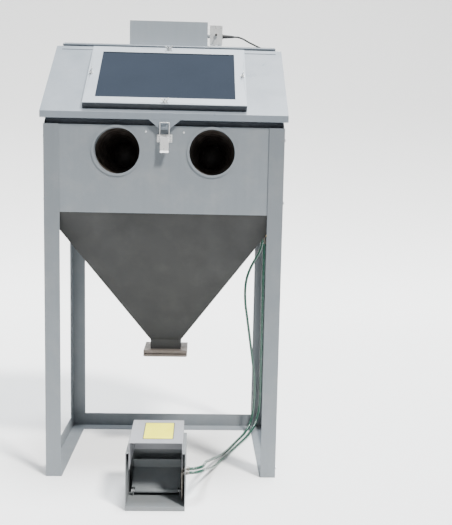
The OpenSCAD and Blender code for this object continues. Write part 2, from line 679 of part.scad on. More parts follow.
module dust_collar() color("silver") from_front()
    translate([dust_pos[0], body_d - 3, dust_pos[1]]) difference() {
        union() {
            rod_y(0, 3, 46);
            rod_y(0, dust_len + 3, 31);
        }
        rod_y(-1, dust_len + 5, 28.5);
    }

// ---- foot pedal ----

module at_pedal() translate([pedal_x, -pedal_front, 0]) children();
module pedal_base() color("lightslategray") from_front() {
    x1 = pedal_w / 2;
    difference() {
        union() {
            at_pedal() difference() {
                block([-x1, 0, 0], [x1, pedal_d, plate_z]);
                block([sheet_t - x1, sheet_t, -1], [x1 - sheet_t, pedal_d - sheet_t, plate_z - sheet_t]);
            }
            at_pedal() both_sides() {
                block([x1 - sheet_t, 0, 1], [x1, pedal_d, pedal_wall]);
                block([x1 - 11, 0, pedal_wall - sheet_t], [x1 - 1, pedal_d, pedal_wall]);
            }
            at_pedal() block([-x1, pedal_d - sheet_t, 1], [x1, pedal_d, pedal_wall]);
        }
        for (y = union_y) translate([inner_wall - 1, y, union_z]) rod_x(0, sheet_t + 2, 6.3);
        translate([0, valve_y, 0]) cylinder(h = 20, r = 6);
    }
    // ears for the treadle's pin
    for (x = [-93, 79]) difference() {
        block([x, treadle_y - 8, plate_z - 1], [x + 3, treadle_y + 8, treadle_z + 8]);
        translate([x - 1, treadle_y, treadle_z]) rod_x(0, 5, 4.05);
    }
}
module pedal_guard() color("lavender") from_front() at_pedal() {
    x1 = pedal_w / 2 - 11;
    y0 = 12;
    y1 = pedal_d - sheet_t;
    difference() {
        translate([-x1, 0, 0]) rotate([90, 0, 90]) linear_extrude(2 * x1)
            polygon([[y0, 150], [y1, 150], [y1, 265], [y0, 250]]);
        translate([sheet_t - x1, 0, 0]) rotate([90, 0, 90]) linear_extrude(2 * x1 - 2 * sheet_t)
            polygon([[y0 - 5, 140], [y1 - sheet_t, 140], [y1 - sheet_t, 263], [y0 - 5, 247.5]]);
    }
}
module at_treadle() translate([0, treadle_y, treadle_z]) rotate([treadle_tilt, 0, 0]) children();
module treadle() color("lightslategray") from_front() at_treadle() difference() {
    union() {
        // plate with its upturned toe board, and the tube that the pin runs in
        block([-86, 4, -1.5], [74, 20, 1.5]);
        block([-98, 16, -1.5], [82, 112, 1.5]);
        block([-98, 109, -0.5], [82, 112, 45]);
        rod_x(-86, 74, 7.5);
    }
    rod_x(-100, 100, 4.05);
}
module treadle_pin() color("gainsboro") from_front() translate([0, treadle_y, treadle_z]) {
    rod_x(-95, 84, 4);
    rod_x(-98, -94, 7);
}
module pipe_run(p) for (i = [0 : len(p) - 2]) {
    d = p[i + 1] - p[i];
    translate(p[i]) rotate([0, acos(d[2] / norm(d)), atan2(d[1], d[0])]) cylinder(h = norm(d), r = 4);
    if (i > 0) translate(p[i]) sphere(r = 4);
}
module foot_valve() color("goldenrod") from_front() {
    difference() {
        block([-22, valve_y - 20, plate_z], [22, valve_y + 20, 38]);
        translate([0, valve_y, plate_z - 1]) cylinder(h = 30, r = 5.05);
        translate([0, valve_y, 24]) cylinder(h = 20, r = 9.6);
    }
    x1 = inner_wall - 10;
    stub = inner_wall - 5.5;
    pipe_run([[21, valve_y + 10, 22], [x1, valve_y + 10, 22], [x1, union_y[0], 22],
        [x1, union_y[0], union_z], [stub, union_y[0], union_z]]);
    pipe_run([[21, valve_y - 10, 31], [x1, valve_y - 10, 31], [x1, union_y[1], 31],
        [x1, union_y[1], union_z], [stub, union_y[1], union_z]]);
}
module valve_plunger() color("silver") from_front() translate([0, valve_y, 0]) {
    translate([0, 0, 17.5]) cylinder(h = collar_top - 17.5, r = 5);
    translate([0, 0, collar_top - 3]) cylinder(h = 3, r = 9);
}
module pedal_spring() color("gray") from_front() translate([0, valve_y, 0]) {
    turns = 6;
    wire = 0.9;
    low = 24 + wire;
    high = collar_top - 3 - wire;
    steps = 12 * turns;
    rise = (high - low - 0.6) / steps;
    sweep([for (i = [0 : steps]) [7.6 * cos(30 * i), 7.6 * sin(30 * i), low + 0.3 + i * rise]], wire, 6);
}

leg_front_left();
leg_front_right();
leg_rear_left();
leg_rear_right();
rail_left();
rail_right();
rail_rear();
front_panel();
side_panel_left();
side_panel_right();
rear_panel();
top_pan();
lid_seal();
hopper();
outlet_flange();
slide_gate();
work_grate();
frame_bolts();
hinge_leaf_body();
hinge_leaf_lid();
hinge_pin();
lid_pan();
window_gasket();
window_glass();
window_frame();
wing_nuts();
latch_strike();
latch_base();
latch_lever();
latch_bail();
panel_rivets();
light_box();
lamp_tube();
light_lens();
handy_box();
switch_toggle();
cord_relief();
power_cord();
power_coil();
power_plug();
glove_rings();
glove_left();
glove_right();
glove_clamps();
blast_gun();
blast_nozzle();
gun_bracket();
pickup_tube();
air_inlet();
dust_collar();
pedal_base();
pedal_guard();
treadle();
treadle_pin();
foot_valve();
valve_plunger();
pedal_spring();
hose_fittings();
air_hose_supply();
air_hose_gun();
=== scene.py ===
import math

import bmesh
import bpy
from mathutils import Matrix, Vector


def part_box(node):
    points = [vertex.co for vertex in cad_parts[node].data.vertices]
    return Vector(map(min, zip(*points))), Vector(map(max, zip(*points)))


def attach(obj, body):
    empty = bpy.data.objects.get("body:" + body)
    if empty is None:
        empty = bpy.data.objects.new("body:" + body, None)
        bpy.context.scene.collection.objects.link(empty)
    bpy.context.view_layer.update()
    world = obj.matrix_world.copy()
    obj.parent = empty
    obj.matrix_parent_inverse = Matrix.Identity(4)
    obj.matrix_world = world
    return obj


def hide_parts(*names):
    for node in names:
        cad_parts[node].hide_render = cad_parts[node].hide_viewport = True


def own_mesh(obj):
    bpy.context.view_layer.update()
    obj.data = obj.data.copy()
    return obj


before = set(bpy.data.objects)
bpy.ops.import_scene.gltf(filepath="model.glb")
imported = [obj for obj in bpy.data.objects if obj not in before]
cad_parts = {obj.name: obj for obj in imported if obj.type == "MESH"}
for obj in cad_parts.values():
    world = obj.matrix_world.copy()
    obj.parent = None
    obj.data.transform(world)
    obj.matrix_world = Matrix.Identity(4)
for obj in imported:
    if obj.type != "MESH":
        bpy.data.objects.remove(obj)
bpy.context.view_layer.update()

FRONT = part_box("leg_front_left")[0].y  # the cabinet's front plane, from which routes and places are measured
PAN_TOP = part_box("top_pan")[1].z


# ---- camera ----


def make_camera():
    """The photographer stands a little right of the middle, at chest height, and looks slightly down."""
    yaw, pitch, roll = 0.0334, 0.1173, -0.0205
    forward = Vector((math.sin(yaw) * math.cos(pitch), math.cos(yaw) * math.cos(pitch), -math.sin(pitch)))
    level = Vector((math.cos(yaw), -math.sin(yaw), 0))
    down = forward.cross(level)
    right = math.cos(roll) * level + math.sin(roll) * down
    under = math.cos(roll) * down - math.sin(roll) * level
    camera = bpy.data.objects.new("camera", bpy.data.cameras.new("camera"))
    camera.data.lens = 50.23
    camera.data.sensor_width = 36
    stand = Matrix.Translation((0.1482, -2.990, 1.1997))
    camera.matrix_world = stand @ Matrix((right, -under, -forward)).transposed().to_4x4()
    bpy.context.collection.objects.link(camera)
    bpy.context.scene.camera = camera


# ---- meshes ----


def place(points):
    """Points given from the cabinet's front plane, in the row frame."""
    return [Vector((x, y + FRONT, z)) for x, y, z in points]


def smooth_path(points, step=0.008):
    """A centripetal Catmull-Rom spline through the points, with a point about every step."""
    ends = [2 * points[0] - points[1], *points, 2 * points[-1] - points[-2]]
    path = [points[0].copy()]
    for a, b, c, d in zip(ends, ends[1:], ends[2:], ends[3:]):
        t = [0.0]
        for p, q in ((a, b), (b, c), (c, d)):
            t.append(t[-1] + (q - p).length ** 0.5)
        count = max(2, round((c - b).length / step))
        for i in range(1, count + 1):
            u = t[1] + (t[2] - t[1]) * i / count
            ab = a.lerp(b, (u - t[0]) / (t[1] - t[0]))
            bc = b.lerp(c, (u - t[1]) / (t[2] - t[1]))
            cd = c.lerp(d, (u - t[2]) / (t[3] - t[2]))
            abc = ab.lerp(bc, (u - t[0]) / (t[2] - t[0]))
            bcd = bc.lerp(cd, (u - t[1]) / (t[3] - t[1]))
            path.append(abc.lerp(bcd, (u - t[1]) / (t[2] - t[1])))
    return path


def link(name, mesh, smooth=True):
    piece = bpy.data.objects.new(name, mesh)
    bpy.context.collection.objects.link(piece)
    for face in mesh.polygons:
        face.use_smooth = smooth
    return piece


def tube(name, path, radius, sides=14, ripple=None):
    """A closed tube along a path. Its UV map runs along its length in metres and once around it."""
    form = bmesh.new()
    uv = form.loops.layers.uv.new("UVMap")
    tangent = (path[1] - path[0]).normalized()
    across = tangent.orthogonal().normalized()
    rings, along = [], [0.0]
    for i, point in enumerate(path):
        ahead = path[min(i + 1, len(path) - 1)] - path[max(i - 1, 0)]
        turn = tangent.rotation_difference(ahead.normalized())
        tangent = ahead.normalized()
        across = (turn @ across).normalized()
        other = tangent.cross(across)
        r = radius * (ripple(i / (len(path) - 1)) if ripple else 1)
        angles = [2 * math.pi * k / sides for k in range(sides)]
        spokes = [math.cos(a) * across + math.sin(a) * other for a in angles]
        rings.append([form.verts.new(point + r * spoke) for spoke in spokes])
        if i:
            along.append(along[-1] + (point - path[i - 1]).length)
    for i in range(len(rings) - 1):
        for k in range(sides):
            n = (k + 1) % sides
            face = form.faces.new((rings[i][k], rings[i][n], rings[i + 1][n], rings[i + 1][k]))
            for loop, (j, m) in zip(face.loops, ((i, k), (i, k + 1), (i + 1, k + 1), (i + 1, k))):
                loop[uv].uv = (along[j], m / sides)
    form.faces.new(reversed(rings[0]))
    form.faces.new(rings[-1])
    bmesh.ops.recalc_face_normals(form, faces=form.faces)
    mesh = bpy.data.meshes.new(name)
    form.to_mesh(mesh)
    form.free()
    return link(name, mesh)


def applied(piece):
    """Turns a piece's modifiers into mesh."""
    depsgraph = bpy.context.evaluated_depsgraph_get()
    mesh = bpy.data.meshes.new_from_object(piece.evaluated_get(depsgraph))
    piece.modifiers.clear()
    piece.data = mesh
    return piece


# ---- materials ----


def new_material(name):
    material = bpy.data.materials.new(name)
    material.use_nodes = True
    return material, material.node_tree, material.node_tree.nodes["Principled BSDF"]


def node(tree, kind, settings=None, **inputs):
    made = tree.nodes.new(kind)
    for key, value in (settings or {}).items():
        setattr(made, key, value)
    for key, value in inputs.items():
        socket = made.inputs[key]
        if isinstance(value, bpy.types.NodeSocket):
            tree.links.new(value, socket)
        else:
            socket.default_value = value
    return made


def object_space(tree, stretch=(1, 1, 1)):
    """Object coordinates, which are metres in the row frame, stretched."""
    place_in = node(tree, "ShaderNodeTexCoord")
    mapping = node(tree, "ShaderNodeMapping", Vector=place_in.outputs["Object"])
    mapping.inputs["Scale"].default_value = stretch
    return mapping.outputs[0]


def noise(tree, vector, scale, detail=4.0, roughness=0.5):
    made = node(tree, "ShaderNodeTexNoise", Vector=vector, Scale=scale, Detail=detail, Roughness=roughness)
    return made.outputs[0]


def remap(tree, value, low, high, to_low=0.0, to_high=1.0):
    made = node(tree, "ShaderNodeMapRange", Value=value)
    for key, number in (("From Min", low), ("From Max", high), ("To Min", to_low), ("To Max", to_high)):
        made.inputs[key].default_value = number
    return made.outputs[0]


def mix(tree, factor, a, b, kind="MIX"):
    made = node(tree, "ShaderNodeMix", {"data_type": "RGBA", "blend_type": kind})
    for index, value in ((0, factor), (6, a), (7, b)):
        if isinstance(value, bpy.types.NodeSocket):
            tree.links.new(value, made.inputs[index])
        else:
            made.inputs[index].default_value = value if index == 0 else (*value, 1)
    return made.outputs[2]


def maths(tree, operation, a, b=0.0):
    made = node(tree, "ShaderNodeMath", {"operation": operation})
    for index, value in ((0, a), (1, b)):
        if isinstance(value, bpy.types.NodeSocket):
            tree.links.new(value, made.inputs[index])
        else:
            made.inputs[index].default_value = value
    return made.outputs[0]


def bump(tree, height, distance, strength=1.0, under=None):
    made = node(tree, "ShaderNodeBump", Height=height, Distance=distance, Strength=strength)
    if under is not None:
        tree.links.new(under, made.inputs["Normal"])
    return made.outputs[0]


def shaded(colour, factor):
    return tuple(c * factor for c in colour)


def paint(name, colour, roughness=0.45, chips=0.5, dust=0.25, dust_colour=(0.55, 0.52, 0.47), peel=0.00006):
    """Shop enamel: orange peel, slow changes of tone, faint runs, chips to dark steel and settled dust."""
    material, tree, shader = new_material(name)
    space = object_space(tree)
    streaked = object_space(tree, (1, 1, 0.08))
    tone = mix(tree, noise(tree, space, 2.3, 3), shaded(colour, 0.93), shaded(colour, 1.07))
    runs = remap(tree, noise(tree, streaked, 46, 5), 0.42, 0.75, 0, 0.22)
    tone = mix(tree, runs, tone, shaded(colour, 0.80))
    settled = remap(tree, noise(tree, space, 13, 8, 0.62), 0.47, 0.80, 0, dust)
    tone = mix(tree, settled, tone, dust_colour)
    fine = remap(tree, noise(tree, space, 260, 3, 0.6), 0.35, 0.65, 0, 0.10)
    tone = mix(tree, fine, tone, shaded(colour, 0.84))
    reach, bare_steel = 0.03 * chips, (0.09, 0.085, 0.08)
    worn = remap(tree, noise(tree, space, 74, 9, 0.68), 0.735 - reach, 0.755 - reach, 0, chips)
    tone = mix(tree, worn, tone, bare_steel)
    tree.links.new(tone, shader.inputs["Base Color"])
    rough = remap(tree, noise(tree, space, 9, 6), 0.3, 0.7, roughness - 0.07, roughness + 0.12)
    tree.links.new(rough, shader.inputs["Roughness"])
    wavy = bump(tree, noise(tree, space, 3.2, 1), 0.0012, 0.35)
    orange_peel = bump(tree, noise(tree, space, 380, 2), peel, 0.6, wavy)
    pitted = bump(tree, maths(tree, "SUBTRACT", 1.0, worn), 0.00012, 0.8, orange_peel)
    tree.links.new(pitted, shader.inputs["Normal"])
    shader.inputs["Specular IOR Level"].default_value = 0.45
    return material


def zinc(name, colour=(0.72, 0.73, 0.74), roughness=0.36, dull=0.25, metallic=0.85):
    """Zinc plate: crystals of slightly different shine, dulled in patches, with fine handling scratches."""
    material, tree, shader = new_material(name)
    space = object_space(tree)
    cells = node(tree, "ShaderNodeTexVoronoi", Vector=space, Scale=150.0)
    tone = mix(tree, cells.outputs["Color"], colour, shaded(colour, 0.88))
    patches = remap(tree, noise(tree, space, 31, 6, 0.6), 0.45, 0.75, 0, dull)
    tone = mix(tree, patches, tone, (0.36, 0.35, 0.33))
    tree.links.new(tone, shader.inputs["Base Color"])
    shader.inputs["Metallic"].default_value = metallic
    rough = remap(tree, noise(tree, space, 60, 4), 0.3, 0.7, roughness - 0.08, roughness + 0.16)
    tree.links.new(rough, shader.inputs["Roughness"])
    scratched = bump(tree, noise(tree, object_space(tree, (1, 1, 0.05)), 900, 3), 0.00003, 0.5)
    tree.links.new(scratched, shader.inputs["Normal"])
    return material


def worn_steel(name, colour=(0.14, 0.12, 0.105), grit=(0.22, 0.185, 0.165)):
    """Bare steel that falling abrasive has matted: a brownish, dusty bloom over scour marks."""
    material, tree, shader = new_material(name)
    space = object_space(tree)
    tone = mix(tree, noise(tree, space, 11, 7, 0.6), shaded(colour, 0.75), shaded(colour, 1.25))
    bloom = remap(tree, noise(tree, space, 42, 8, 0.65), 0.5, 0.72, 0, 0.6)
    tone = mix(tree, bloom, tone, grit)
    tree.links.new(tone, shader.inputs["Base Color"])
    shader.inputs["Metallic"].default_value = 0.35
    tree.links.new(remap(tree, bloom, 0, 0.6, 0.42, 0.72), shader.inputs["Roughness"])
    scour = bump(tree, noise(tree, object_space(tree, (1, 0.1, 1)), 320, 4), 0.00008, 0.6)
    tree.links.new(scour, shader.inputs["Normal"])
    return material


def foam(name, colour=(0.022, 0.026, 0.032)):
    """Closed-cell foam: small open cells on a matt black skin, greyed by dust."""
    material, tree, shader = new_material(name)
    space = object_space(tree)
    cells = node(tree, "ShaderNodeTexVoronoi", Vector=space, Scale=620.0)
    pits = remap(tree, cells.outputs["Distance"], 0.05, 0.5, 0, 1)
    tone = mix(tree, pits, shaded(colour, 0.6), shaded(colour, 1.5))
    dusty = remap(tree, noise(tree, space, 18, 6), 0.5, 0.8, 0, 0.12)
    tone = mix(tree, dusty, tone, (0.30, 0.29, 0.27))
    tree.links.new(tone, shader.inputs["Base Color"])
    tree.links.new(remap(tree, dusty, 0, 0.12, 0.78, 0.92), shader.inputs["Roughness"])
    tree.links.new(bump(tree, pits, 0.00025, 0.7), shader.inputs["Normal"])
    return material


def rubber(name, colour=(0.020, 0.020, 0.021), roughness=0.6, dust=0.25, grain=520.0):
    """Moulded rubber: fine grain, and a grey bloom in patches that are also rougher."""
    material, tree, shader = new_material(name)
    space = object_space(tree)
    bloom = remap(tree, noise(tree, space, 24, 7, 0.6), 0.46, 0.78, 0, dust)
    tone = mix(tree, noise(tree, space, 7, 3), shaded(colour, 0.8), shaded(colour, 1.3))
    tone = mix(tree, bloom, tone, (0.24, 0.21, 0.18))
    tree.links.new(tone, shader.inputs["Base Color"])
    tree.links.new(remap(tree, bloom, 0, 1, roughness, roughness + 0.3), shader.inputs["Roughness"])
    grained = bump(tree, noise(tree, space, grain, 3), 0.00012, 0.6)
    tree.links.new(grained, shader.inputs["Normal"])
    return material


def braided_hose(name, colour=(0.007, 0.040, 0.026)):
    """Glossy green hose with its two crossing layers of braid showing through."""
    material, tree, shader = new_material(name)
    uv = node(tree, "ShaderNodeUVMap", {"uv_map": "UVMap"})
    split = node(tree, "ShaderNodeSeparateXYZ", Vector=uv.outputs[0])
    crossings_per_metre, strands_around = 90, 6
    along = maths(tree, "MULTIPLY", split.outputs[0], 2 * math.pi * crossings_per_metre)
    around = maths(tree, "MULTIPLY", split.outputs[1], 2 * math.pi * strands_around)
    one = maths(tree, "SINE", maths(tree, "ADD", along, around))
    two = maths(tree, "SINE", maths(tree, "SUBTRACT", along, around))
    braid = remap(tree, maths(tree, "MAXIMUM", one, two), 0.55, 1.0, 0, 1)
    tone = mix(tree, maths(tree, "MULTIPLY", braid, 0.3), colour, (0.05, 0.17, 0.12))
    scuffed = remap(tree, noise(tree, object_space(tree), 38, 7, 0.6), 0.5, 0.8, 0, 0.35)
    tone = mix(tree, scuffed, tone, (0.05, 0.10, 0.075))
    tree.links.new(tone, shader.inputs["Base Color"])
    tree.links.new(remap(tree, scuffed, 0, 0.35, 0.22, 0.48), shader.inputs["Roughness"])
    shader.inputs["Coat Weight"].default_value = 0.4
    shader.inputs["Coat Roughness"].default_value = 0.12
    tree.links.new(bump(tree, braid, 0.00018, 0.6), shader.inputs["Normal"])
    return material


def glass(name, colour, clear, haze):
    """Plate glass that rebounding grit has misted, more in some patches than in others."""
    material, tree, shader = new_material(name)
    space = object_space(tree)
    mist = remap(tree, noise(tree, space, 4.5, 6, 0.6), 0.35, 0.75, 0, 1)
    tree.links.new(mix(tree, mist, colour, shaded(colour, 1.12)), shader.inputs["Base Color"])
    tree.links.new(remap(tree, mist, 0, 1, haze * 0.85, haze * 1.15), shader.inputs["Roughness"])
    shader.inputs["Transmission Weight"].default_value = clear
    shader.inputs["IOR"].default_value = 1.5
    pits = bump(tree, noise(tree, space, 700, 2), 0.00002, 0.35)
    tree.links.new(pits, shader.inputs["Normal"])
    return material


def brass(name, colour=(0.58, 0.42, 0.17)):
    """Turned brass, browned in patches, with fine tool marks."""
    material, tree, shader = new_material(name)
    space = object_space(tree)
    tarnish = remap(tree, noise(tree, space, 65, 6, 0.6), 0.45, 0.75, 0, 0.6)
    tree.links.new(mix(tree, tarnish, colour, (0.20, 0.13, 0.06)), shader.inputs["Base Color"])
    shader.inputs["Metallic"].default_value = 0.9
    tree.links.new(remap(tree, tarnish, 0, 0.6, 0.30, 0.55), shader.inputs["Roughness"])
    tree.links.new(bump(tree, noise(tree, space, 1300, 2), 0.00002, 0.5), shader.inputs["Normal"])
    return material


def ceramic(name, colour=(0.72, 0.68, 0.58)):
    """Unglazed nozzle ceramic with sooty speckle."""
    material, tree, shader = new_material(name)
    space = object_space(tree)
    speckle = remap(tree, noise(tree, space, 420, 5, 0.7), 0.55, 0.7, 0, 0.5)
    tree.links.new(mix(tree, speckle, colour, (0.22, 0.20, 0.18)), shader.inputs["Base Color"])
    tree.links.new(remap(tree, speckle, 0, 0.5, 0.5, 0.7), shader.inputs["Roughness"])
    tree.links.new(bump(tree, speckle, 0.00005, 0.6), shader.inputs["Normal"])
    return material


def lamp_glass(name):
    """Opal tube with a faint powder texture."""
    material, tree, shader = new_material(name)
    space = object_space(tree)
    powder = noise(tree, space, 300, 4)
    tree.links.new(mix(tree, powder, (0.84, 0.84, 0.80), (0.92, 0.92, 0.90)), shader.inputs["Base Color"])
    tree.links.new(remap(tree, powder, 0.3, 0.7, 0.16, 0.28), shader.inputs["Roughness"])
    tree.links.new(bump(tree, powder, 0.00002, 0.3), shader.inputs["Normal"])
    return material


def sticker(name, colour):
    """Printed vinyl film: slightly sun-bleached and scuffed."""
    material, tree, shader = new_material(name)
    space = object_space(tree)
    faded = remap(tree, noise(tree, space, 26, 6), 0.4, 0.75, 0, 0.5)
    bleached = tuple(min(1, c * 1.15 + 0.05) for c in colour)
    tree.links.new(mix(tree, faded, colour, bleached), shader.inputs["Base Color"])
    tree.links.new(remap(tree, faded, 0, 0.5, 0.38, 0.6), shader.inputs["Roughness"])
    tree.links.new(bump(tree, noise(tree, space, 800, 2), 0.00003, 0.4), shader.inputs["Normal"])
    return material


def backdrop_paint(name, colour):
    """Matt studio paper."""
    material, tree, shader = new_material(name)
    fibre = noise(tree, object_space(tree), 90, 4)
    tree.links.new(mix(tree, fibre, shaded(colour, 0.99), colour), shader.inputs["Base Color"])
    shader.inputs["Roughness"].default_value = 0.9
    return material


BODY = (0.212, 0.236, 0.256)
FINISHES = {
    "panel": paint("panel_enamel", BODY, 0.46, 0.35, 0.12),
    # The legs and rails take the body's paint darkened to 0.86: painted shade on the legs under the cabinet.
    "frame": paint("frame_enamel_painted_shade", shaded(BODY, 0.86), 0.48, 0.8, 0.14, (0.40, 0.38, 0.35)),
    # The lid, top pan, latch strike and hinge leaves take the body's paint made lighter and bluer: painted
    # light and painted sky reflection on the sloping lid.
    "lid": paint("lid_enamel_painted_light", (0.222, 0.254, 0.286), 0.34, 0.25, 0.08),
    "lamp_box": paint("lamp_box_enamel", shaded(BODY, 1.7), 0.40, 0.25, 0.10),
    # The hopper and work grate take the body's paint darkened about tenfold, dust included: painted shade of
    # the downward-facing hopper.
    "hopper": paint("hopper_painted_shade_enamel", (0.022, 0.0225, 0.022), 0.60, 0.5, 0.30, (0.055, 0.053, 0.049)),
    "pedal": paint("pedal_enamel", (0.165, 0.178, 0.184), 0.48, 0.9, 0.35, (0.22, 0.20, 0.17)),
    "treadle": paint("treadle_enamel", (0.165, 0.180, 0.186), 0.52, 0.9, 0.35, (0.20, 0.19, 0.17)),
    # The window frame takes the lid's paint made much paler: painted highlight copied from its lit border.
    "rim": paint("window_frame_painted_highlight", (0.37, 0.41, 0.45), 0.34, 0.2, 0.08),
    # The foot valve and hose fittings are zinc darkened to near black: painted shade of the pedal box's
    # interior.
    "fitting": zinc("fitting_painted_shade", (0.12, 0.11, 0.095), 0.42, 0.5, 0.7),
    "hood": paint("hood_enamel", (0.30, 0.305, 0.325), 0.42, 0.5, 0.12),
    "steel": worn_steel("matted_steel"),
    "zinc": zinc("zinc_plate", (0.60, 0.61, 0.62)),
    "bright": zinc("bright_zinc", (0.84, 0.84, 0.82), 0.30, 0.12, 0.35),
    "spring": zinc("spring_steel", (0.42, 0.42, 0.43), 0.32, 0.35),
    "foam": foam("seal_foam"),
    "rubber": rubber("black_rubber", dust=0.12),
    "glove": rubber("glove_rubber", (0.046, 0.035, 0.029), 0.50, 0.40, 260.0),
    "hose": braided_hose("green_hose"),
    # The window glass lets little light through and is dark blue: painted shade of the dark chamber behind it.
    "window": glass("glass_painted_shade", (0.028, 0.038, 0.055), 0.25, 0.06),
    "lens": glass("lens_glass", (0.80, 0.86, 0.88), 0.85, 0.10),
    "lamp": lamp_glass("opal_lamp"),
    "brass": brass("dull_brass"),
    "ceramic": ceramic("nozzle_ceramic"),
    "label": sticker("label_yellow", (0.86, 0.80, 0.03)),
    "label_rule": sticker("label_dark", (0.10, 0.10, 0.09)),
}
WORN_BY = {
    "panel": "front_panel side_panel_left side_panel_right rear_panel glove_rings",
    "lamp_box": "light_box",
    "frame": "leg_front_left leg_front_right leg_rear_left leg_rear_right rail_left rail_right rail_rear",
    "lid": "lid_pan latch_strike top_pan hinge_leaf_body hinge_leaf_lid",
    "hopper": "hopper work_grate",
    "pedal": "pedal_base",
    "treadle": "treadle",
    "rim": "window_frame",
    "fitting": "foot_valve hose_fittings",
    "hood": "pedal_guard",
    "steel": "outlet_flange slide_gate pickup_tube blast_gun",
    "zinc": "frame_bolts hinge_pin panel_rivets glove_clamps gun_bracket "
    "dust_collar treadle_pin valve_plunger",
    "bright": "wing_nuts latch_base latch_lever latch_bail handy_box",
    "spring": "pedal_spring",
    "foam": "lid_seal window_gasket",
    "rubber": "cord_relief power_plug switch_toggle power_cord power_coil",
    "glove": "glove_left glove_right",
    "hose": "air_hose_supply air_hose_gun",
    "window": "window_glass",
    "lens": "light_lens",
    "lamp": "lamp_tube",
    "brass": "air_inlet",
    "ceramic": "blast_nozzle",
}
FOLDED = (
    "front_panel side_panel_left side_panel_right rear_panel light_box top_pan lid_pan latch_strike hopper "
    "leg_front_left leg_front_right leg_rear_left leg_rear_right rail_left rail_right rail_rear pedal_base "
    "pedal_guard treadle outlet_flange slide_gate window_frame latch_base latch_lever handy_box gun_bracket"
)


def dress(piece, finish):
    if not piece.material_slots:
        piece.data.materials.append(FINISHES[finish])
    for held in piece.material_slots:
        held.link = "OBJECT"
        held.material = FINISHES[finish]
    return piece


def soften(piece, width=0.0008):
    """Rounds the folded and cut edges of a sheet part so that they catch the light."""
    piece.modifiers.new("weld", "WELD").merge_threshold = 0.00002
    bevel = piece.modifiers.new("bevel", "BEVEL")
    bevel.width = width
    bevel.segments = 2
    bevel.limit_method = "ANGLE"
    bevel.angle_limit = math.radians(38)
    bevel.harden_normals = True


def dress_frame():
    for finish, names in WORN_BY.items():
        for name in names.split():
            dress(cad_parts[name], finish)
    for name in FOLDED.split():
        soften(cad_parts[name])


# ---- cords and hoses: the routes repeat the CAD's own, from the front plane, in metres ----

GUN_HOSE = [
    (0.116, -0.215, 0.124), (0.12, -0.215, 0.124), (0.1384, -0.2113, 0.124), (0.1539, -0.2009, 0.1235),
    (0.1643, -0.1854, 0.122), (0.168, -0.171, 0.12), (0.171, -0.15, 0.116), (0.175, -0.112, 0.107),
    (0.181, -0.066, 0.093), (0.189, -0.016, 0.076), (0.2, 0.038, 0.059), (0.214, 0.093, 0.043),
    (0.232, 0.152, 0.028), (0.252, 0.211, 0.016), (0.275, 0.272, 0.009), (0.299, 0.335, 0.007),
    (0.323, 0.395, 0.007), (0.347, 0.449, 0.009), (0.369, 0.492, 0.019), (0.387, 0.521, 0.041),
    (0.399, 0.538, 0.077), (0.405, 0.545, 0.128), (0.407, 0.545, 0.19), (0.404, 0.545, 0.265),
    (0.394, 0.543, 0.345), (0.38, 0.54, 0.44), (0.365, 0.537, 0.54), (0.353, 0.533, 0.625),
    (0.352, 0.53, 0.695), (0.36, 0.528, 0.745), (0.376, 0.527, 0.788), (0.394, 0.525, 0.823),
    (0.41, 0.524, 0.852), (0.4195, 0.523, 0.878), (0.423, 0.521, 0.897), (0.4234, 0.52, 0.911),
    (0.4213, 0.52, 0.924), (0.4144, 0.52, 0.9374), (0.4033, 0.52, 0.9484), (0.3984, 0.52, 0.9519),
]
SUPPLY_HOSE = [
    (0.116, -0.25, 0.124), (0.12, -0.25, 0.124), (0.1384, -0.2463, 0.1235), (0.1539, -0.2359, 0.122),
    (0.1643, -0.2204, 0.119), (0.1685, -0.205, 0.115), (0.1715, -0.182, 0.108), (0.176, -0.148, 0.095),
    (0.182, -0.1, 0.076), (0.19, -0.048, 0.055), (0.201, 0.008, 0.036), (0.215, 0.066, 0.021),
    (0.233, 0.127, 0.012), (0.258, 0.19, 0.008), (0.286, 0.256, 0.007), (0.315, 0.322, 0.007),
    (0.344, 0.386, 0.008), (0.37, 0.44, 0.012), (0.393, 0.488, 0.022), (0.413, 0.525, 0.044),
    (0.427, 0.55, 0.082), (0.434, 0.559, 0.132), (0.435, 0.56, 0.19), (0.435, 0.56, 0.29),
    (0.435, 0.56, 0.43), (0.435, 0.56, 0.57), (0.435, 0.56, 0.71), (0.435, 0.56, 0.83),
    (0.435, 0.56, 0.894),
]
LEAD = [
    (0.271, 0.45, 1.799), (0.29, 0.45, 1.798), (0.312, 0.45, 1.791), (0.335, 0.45, 1.779),
    (0.359, 0.451, 1.768), (0.382, 0.453, 1.758), (0.402, 0.459, 1.752), (0.418, 0.47, 1.749),
    (0.428, 0.487, 1.749), (0.433, 0.508, 1.749), (0.433, 0.53, 1.749), (0.427, 0.552, 1.749),
    (0.415, 0.571, 1.749), (0.397, 0.5845, 1.749), (0.377, 0.5908, 1.749), (0.356, 0.59225, 1.749),
]
HOSE_WIDTH = 0.012
LEAD_WIDTH = 0.0075
COIL_CENTRE = Vector((0.325, 0.540 + FRONT, PAN_TOP))
COIL_MIDDLE = 0.041
COIL_TURNS = 7.25
COIL_LIFT = 0.0005  # the gap between the lowest turns and the roof
PLUG_ENTRY = 0.0083  # the height of the lead's middle above the roof where it enters the plug


